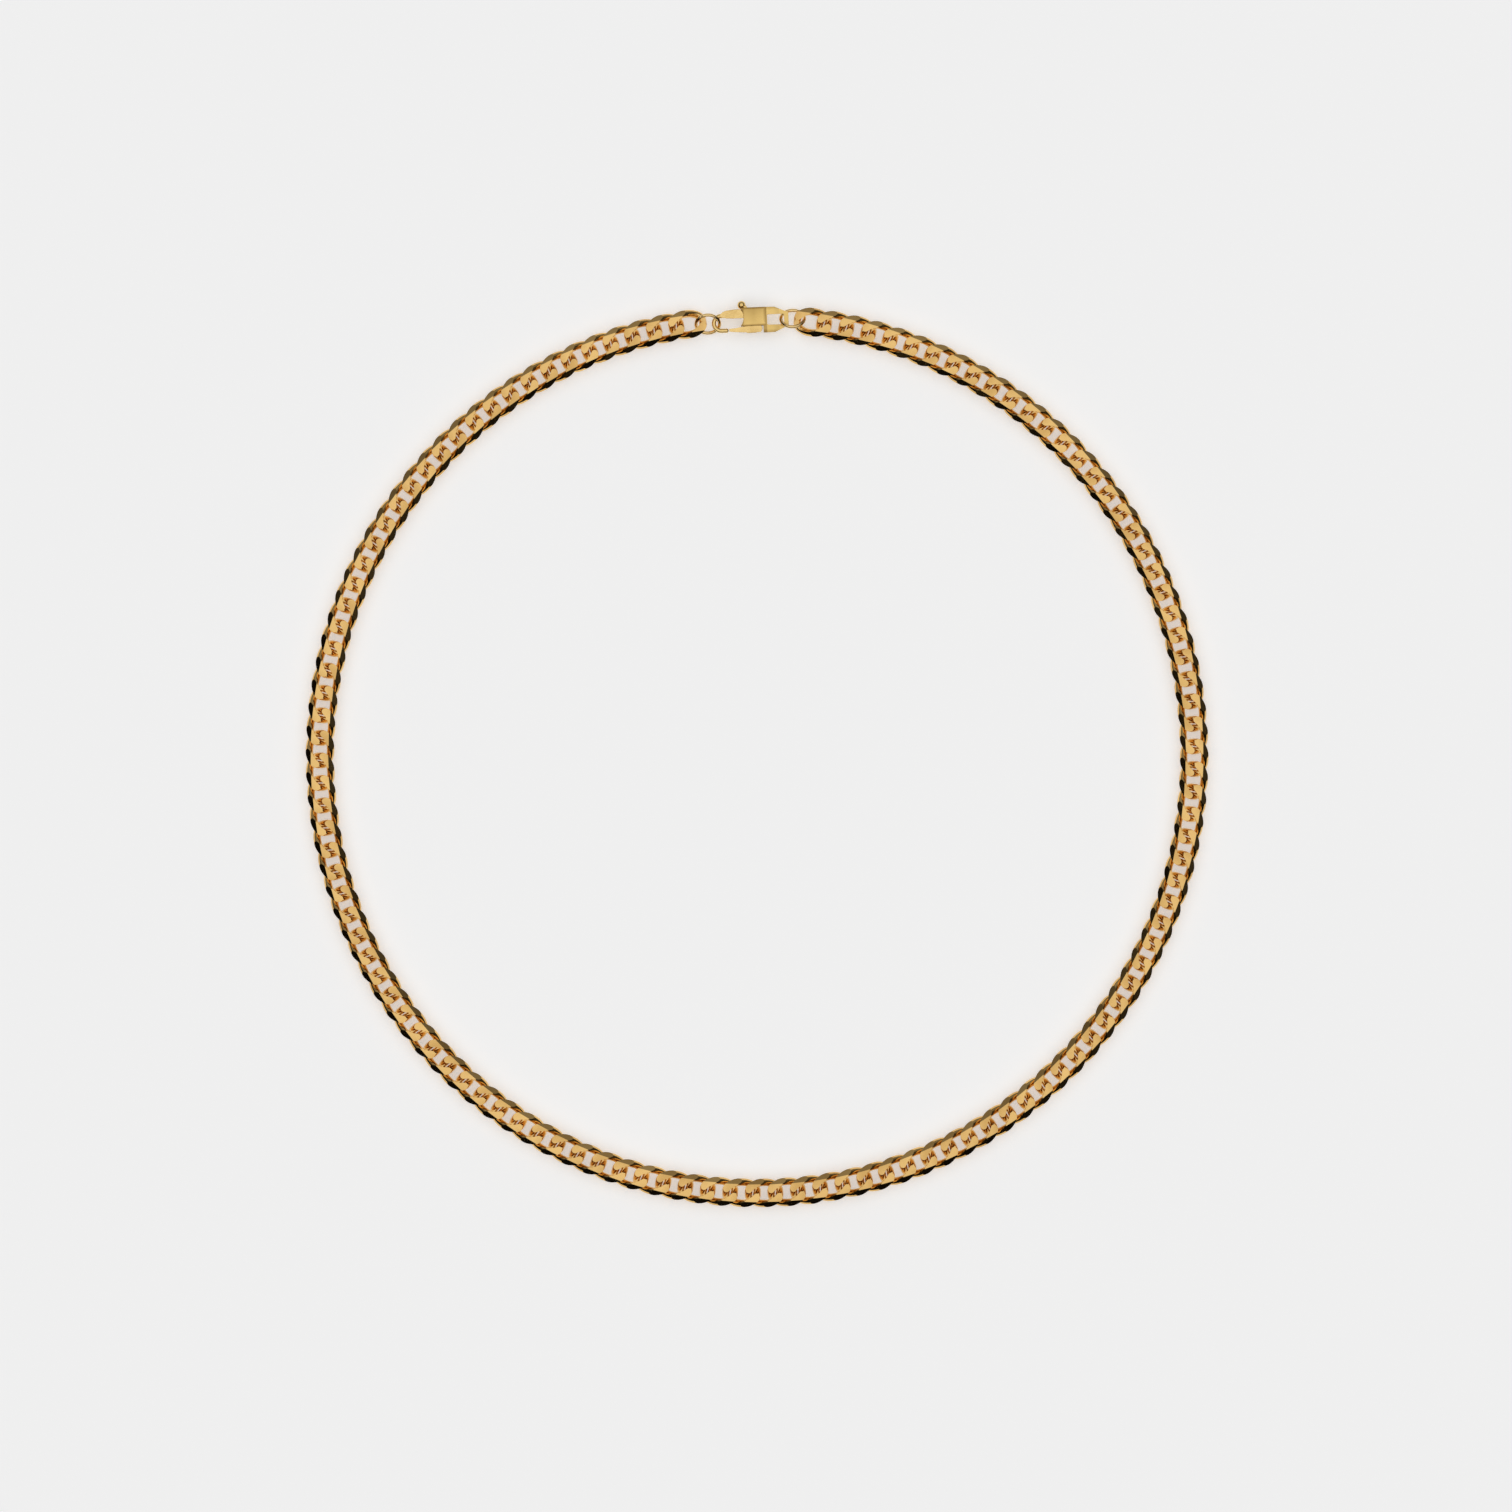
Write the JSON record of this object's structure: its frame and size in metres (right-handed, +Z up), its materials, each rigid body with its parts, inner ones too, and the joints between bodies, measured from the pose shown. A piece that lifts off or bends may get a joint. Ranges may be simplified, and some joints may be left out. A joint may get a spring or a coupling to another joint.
{
  "type": "chain necklace",
  "caption": "Closed curb chain necklace of flat ground links, fastened by a lobster clasp between two round jump rings.",
  "frame": {"origin": "middle of the closed necklace, on the surface that it lies on", "axes": "+Z up from that surface, +Y from the middle towards the clasp, +X to the right of the clasp seen from above"},
  "size_m": [0.1642, 0.165, 0.0035],
  "materials": {
    "links": "yellow gold, ground flat and polished to a mirror",
    "rings": "yellow gold, polished round wire",
    "clasp": "yellow gold, satin cheeks with polished edges",
    "trigger": "yellow gold, polished",
    "spring": "spring steel strip"
  },
  "bodies": {
    "links_01": {"links_01": "links"},
    "links_02": {"links_02": "links"},
    "links_03": {"links_03": "links"},
    "links_04": {"links_04": "links"},
    "links_05": {"links_05": "links"},
    "links_06": {"links_06": "links"},
    "links_07": {"links_07": "links"},
    "links_08": {"links_08": "links"},
    "links_09": {"links_09": "links"},
    "links_10": {"links_10": "links"},
    "links_11": {"links_11": "links"},
    "links_12": {"links_12": "links"},
    "links_13": {"links_13": "links"},
    "links_14": {"links_14": "links"},
    "links_15": {"links_15": "links"},
    "links_16": {"links_16": "links"},
    "links_17": {"links_17": "links"},
    "links_18": {"links_18": "links"},
    "links_19": {"links_19": "links"},
    "links_20": {"links_20": "links"},
    "links_21": {"links_21": "links"},
    "links_22": {"links_22": "links"},
    "links_23": {"links_23": "links"},
    "links_24": {"links_24": "links"},
    "links_25": {"links_25": "links"},
    "links_26": {"links_26": "links"},
    "links_27": {"links_27": "links"},
    "links_28": {"links_28": "links"},
    "links_29": {"links_29": "links"},
    "links_30": {"links_30": "links"},
    "links_31": {"links_31": "links"},
    "links_32": {"links_32": "links"},
    "links_33": {"links_33": "links"},
    "links_34": {"links_34": "links"},
    "links_35": {"links_35": "links"},
    "links_36": {"links_36": "links"},
    "links_37": {"links_37": "links"},
    "links_38": {"links_38": "links"},
    "links_39": {"links_39": "links"},
    "clasp": {"clasp_body": "clasp", "clasp_pin": "clasp", "clasp_spring": "spring"},
    "clasp_trigger": {"clasp_trigger": "trigger"},
    "jump_ring_right": {"jump_ring_right": "rings"},
    "jump_ring_left": {"jump_ring_left": "rings"}
  },
  "joints": [
    {"name": "fold_01_right", "type": "hinge", "parent": "links_20", "child": "links_19", "pos_m": [0.00616, -0.07928, 0.00177], "axis": [1, 0, 0], "range_deg": [-10, 10]},
    {"name": "fold_01_left", "type": "hinge", "parent": "links_20", "child": "links_21", "pos_m": [-0.00616, -0.07928, 0.00177], "axis": [1, 0, 0], "range_deg": [-10, 10]},
    {"name": "squeeze_02_right", "type": "hinge", "parent": "links_19", "child": "links_18", "pos_m": [0.01833, -0.07738, 0.00177], "axis": [0, 0, 1], "range_deg": [-9, 9]},
    {"name": "squeeze_02_left", "type": "hinge", "parent": "links_21", "child": "links_22", "pos_m": [-0.01833, -0.07738, 0.00177], "axis": [0, 0, 1], "range_deg": [-9, 9]},
    {"name": "squeeze_03_right", "type": "hinge", "parent": "links_18", "child": "links_17", "pos_m": [0.03006, -0.07362, 0.00177], "axis": [0, 0, 1], "range_deg": [-9, 9]},
    {"name": "squeeze_03_left", "type": "hinge", "parent": "links_22", "child": "links_23", "pos_m": [-0.03006, -0.07362, 0.00177], "axis": [0, 0, 1], "range_deg": [-9, 9]},
    {"name": "fold_04_right", "type": "hinge", "parent": "links_17", "child": "links_16", "pos_m": [0.04107, -0.0681, 0.00177], "axis": [1, 0, 0], "range_deg": [-12, 12]},
    {"name": "fold_04_left", "type": "hinge", "parent": "links_23", "child": "links_24", "pos_m": [-0.04107, -0.0681, 0.00177], "axis": [1, 0, 0], "range_deg": [-12, 12]},
    {"name": "squeeze_05_right", "type": "hinge", "parent": "links_16", "child": "links_15", "pos_m": [0.05109, -0.06094, 0.00177], "axis": [0, 0, 1], "range_deg": [-9, 9]},
    {"name": "squeeze_05_left", "type": "hinge", "parent": "links_24", "child": "links_25", "pos_m": [-0.05109, -0.06094, 0.00177], "axis": [0, 0, 1], "range_deg": [-9, 9]},
    {"name": "squeeze_06_right", "type": "hinge", "parent": "links_15", "child": "links_14", "pos_m": [0.05989, -0.05232, 0.00177], "axis": [0, 0, 1], "range_deg": [-9, 9]},
    {"name": "squeeze_06_left", "type": "hinge", "parent": "links_25", "child": "links_26", "pos_m": [-0.05989, -0.05232, 0.00177], "axis": [0, 0, 1], "range_deg": [-9, 9]},
    {"name": "fold_07_right", "type": "hinge", "parent": "links_14", "child": "links_13", "pos_m": [0.06725, -0.04244, 0.00177], "axis": [1, 0, 0], "range_deg": [-16, 16]},
    {"name": "fold_07_left", "type": "hinge", "parent": "links_26", "child": "links_27", "pos_m": [-0.06725, -0.04244, 0.00177], "axis": [1, 0, 0], "range_deg": [-16, 16]},
    {"name": "squeeze_08_right", "type": "hinge", "parent": "links_13", "child": "links_12", "pos_m": [0.073, -0.03155, 0.00177], "axis": [0, 0, 1], "range_deg": [-9, 9]},
    {"name": "squeeze_08_left", "type": "hinge", "parent": "links_27", "child": "links_28", "pos_m": [-0.073, -0.03155, 0.00177], "axis": [0, 0, 1], "range_deg": [-9, 9]},
    {"name": "squeeze_09_right", "type": "hinge", "parent": "links_12", "child": "links_11", "pos_m": [0.07699, -0.0199, 0.00177], "axis": [0, 0, 1], "range_deg": [-9, 9]},
    {"name": "squeeze_09_left", "type": "hinge", "parent": "links_28", "child": "links_29", "pos_m": [-0.07699, -0.0199, 0.00177], "axis": [0, 0, 1], "range_deg": [-9, 9]},
    {"name": "fold_10_right", "type": "hinge", "parent": "links_11", "child": "links_10", "pos_m": [0.07914, -0.00777, 0.00177], "axis": [1, 0, 0], "range_deg": [-24, 24]},
    {"name": "fold_10_left", "type": "hinge", "parent": "links_29", "child": "links_30", "pos_m": [-0.07914, -0.00777, 0.00177], "axis": [1, 0, 0], "range_deg": [-24, 24]},
    {"name": "fold_11_right", "type": "hinge", "parent": "links_10", "child": "links_09", "pos_m": [0.07939, 0.00455, 0.00177], "axis": [1, 0, 0], "range_deg": [-24, 24]},
    {"name": "fold_11_left", "type": "hinge", "parent": "links_30", "child": "links_31", "pos_m": [-0.07939, 0.00455, 0.00177], "axis": [1, 0, 0], "range_deg": [-24, 24]},
    {"name": "squeeze_12_right", "type": "hinge", "parent": "links_09", "child": "links_08", "pos_m": [0.07774, 0.01675, 0.00177], "axis": [0, 0, 1], "range_deg": [-8.9, 8.9]},
    {"name": "squeeze_12_left", "type": "hinge", "parent": "links_31", "child": "links_32", "pos_m": [-0.07774, 0.01675, 0.00177], "axis": [0, 0, 1], "range_deg": [-8.9, 8.9]},
    {"name": "squeeze_13_right", "type": "hinge", "parent": "links_08", "child": "links_07", "pos_m": [0.07422, 0.02856, 0.00177], "axis": [0, 0, 1], "range_deg": [-8.9, 8.9]},
    {"name": "squeeze_13_left", "type": "hinge", "parent": "links_32", "child": "links_33", "pos_m": [-0.07422, 0.02856, 0.00177], "axis": [0, 0, 1], "range_deg": [-8.9, 8.9]},
    {"name": "fold_14_right", "type": "hinge", "parent": "links_07", "child": "links_06", "pos_m": [0.06892, 0.03968, 0.00177], "axis": [1, 0, 0], "range_deg": [-17, 17]},
    {"name": "fold_14_left", "type": "hinge", "parent": "links_33", "child": "links_34", "pos_m": [-0.06892, 0.03968, 0.00177], "axis": [1, 0, 0], "range_deg": [-17, 17]},
    {"name": "squeeze_15_right", "type": "hinge", "parent": "links_06", "child": "links_05", "pos_m": [0.06196, 0.04984, 0.00177], "axis": [0, 0, 1], "range_deg": [-8.67, 8.67]},
    {"name": "squeeze_15_left", "type": "hinge", "parent": "links_34", "child": "links_35", "pos_m": [-0.06196, 0.04984, 0.00177], "axis": [0, 0, 1], "range_deg": [-8.67, 8.67]},
    {"name": "squeeze_16_right", "type": "hinge", "parent": "links_05", "child": "links_04", "pos_m": [0.05352, 0.05881, 0.00177], "axis": [0, 0, 1], "range_deg": [-8.67, 8.67]},
    {"name": "squeeze_16_left", "type": "hinge", "parent": "links_35", "child": "links_36", "pos_m": [-0.05352, 0.05881, 0.00177], "axis": [0, 0, 1], "range_deg": [-8.67, 8.67]},
    {"name": "fold_17_right", "type": "hinge", "parent": "links_04", "child": "links_03", "pos_m": [0.0438, 0.06637, 0.00177], "axis": [1, 0, 0], "range_deg": [-12, 12]},
    {"name": "fold_17_left", "type": "hinge", "parent": "links_36", "child": "links_37", "pos_m": [-0.0438, 0.06637, 0.00177], "axis": [1, 0, 0], "range_deg": [-12, 12]},
    {"name": "squeeze_18_right", "type": "hinge", "parent": "links_03", "child": "links_02", "pos_m": [0.03302, 0.07234, 0.00177], "axis": [0, 0, 1], "range_deg": [-8.01, 8.01]},
    {"name": "squeeze_18_left", "type": "hinge", "parent": "links_37", "child": "links_38", "pos_m": [-0.03302, 0.07234, 0.00177], "axis": [0, 0, 1], "range_deg": [-8.01, 8.01]},
    {"name": "squeeze_19_right", "type": "hinge", "parent": "links_02", "child": "links_01", "pos_m": [0.02146, 0.07657, 0.00177], "axis": [0, 0, 1], "range_deg": [-8.01, 8.01]},
    {"name": "squeeze_19_left", "type": "hinge", "parent": "links_38", "child": "links_39", "pos_m": [-0.02146, 0.07657, 0.00177], "axis": [0, 0, 1], "range_deg": [-8.01, 8.01]},
    {"name": "clasp_roll", "type": "hinge", "parent": "links_01", "child": "clasp", "pos_m": [0, 0.07925, 0.00177], "axis": [0.9997, 0.0262, 0], "range_deg": [-9, 3]},
    {"name": "trigger_turn", "type": "hinge", "parent": "clasp", "child": "clasp_trigger", "pos_m": [0.00101, 0.07877, 0.00177], "axis": [0, 0, 1], "range_deg": [-18, 0], "stiffness_Nm_per_rad": 0.004, "springref_deg": 8.59, "deforming": ["clasp_spring"]},
    {"name": "ring_right_spin", "type": "hinge", "parent": "links_01", "child": "jump_ring_right", "pos_m": [0.00773, 0.07945, 0.00177], "axis": [-0.0179, 0.6818, 0.7314], "continuous": true},
    {"name": "ring_left_spin", "type": "hinge", "parent": "links_39", "child": "jump_ring_left", "pos_m": [-0.00772, 0.0787, 0.00177], "axis": [0.0179, -0.6818, 0.7314], "continuous": true}
  ],
  "couplings": [
    {"joint": "fold_01_left", "follows": "fold_01_right", "ratio": 1},
    {"joint": "squeeze_02_left", "follows": "squeeze_02_right", "ratio": -1},
    {"joint": "squeeze_03_right", "follows": "squeeze_02_right", "ratio": -1},
    {"joint": "squeeze_03_left", "follows": "squeeze_02_right", "ratio": 1},
    {"joint": "fold_04_left", "follows": "fold_04_right", "ratio": 1},
    {"joint": "squeeze_05_left", "follows": "squeeze_05_right", "ratio": -1},
    {"joint": "squeeze_06_right", "follows": "squeeze_05_right", "ratio": -1},
    {"joint": "squeeze_06_left", "follows": "squeeze_05_right", "ratio": 1},
    {"joint": "fold_07_left", "follows": "fold_07_right", "ratio": 1},
    {"joint": "squeeze_08_left", "follows": "squeeze_08_right", "ratio": -1},
    {"joint": "squeeze_09_right", "follows": "squeeze_08_right", "ratio": -1},
    {"joint": "squeeze_09_left", "follows": "squeeze_08_right", "ratio": 1},
    {"joint": "fold_10_left", "follows": "fold_10_right", "ratio": 1},
    {"joint": "fold_11_left", "follows": "fold_11_right", "ratio": 1},
    {"joint": "squeeze_12_right", "follows": "squeeze_08_right", "ratio": -0.98707},
    {"joint": "squeeze_12_left", "follows": "squeeze_08_right", "ratio": 0.98707},
    {"joint": "squeeze_13_right", "follows": "squeeze_08_right", "ratio": 0.98707},
    {"joint": "squeeze_13_left", "follows": "squeeze_08_right", "ratio": -0.98707},
    {"joint": "fold_14_left", "follows": "fold_14_right", "ratio": 1},
    {"joint": "squeeze_15_right", "follows": "squeeze_05_right", "ratio": -0.96097},
    {"joint": "squeeze_15_left", "follows": "squeeze_05_right", "ratio": 0.96097},
    {"joint": "squeeze_16_right", "follows": "squeeze_05_right", "ratio": 0.96097},
    {"joint": "squeeze_16_left", "follows": "squeeze_05_right", "ratio": -0.96097},
    {"joint": "fold_17_left", "follows": "fold_17_right", "ratio": 1},
    {"joint": "squeeze_18_right", "follows": "squeeze_02_right", "ratio": -0.88818},
    {"joint": "squeeze_18_left", "follows": "squeeze_02_right", "ratio": 0.88818},
    {"joint": "squeeze_19_right", "follows": "squeeze_02_right", "ratio": 0.88818},
    {"joint": "squeeze_19_left", "follows": "squeeze_02_right", "ratio": -0.88818}
  ]
}
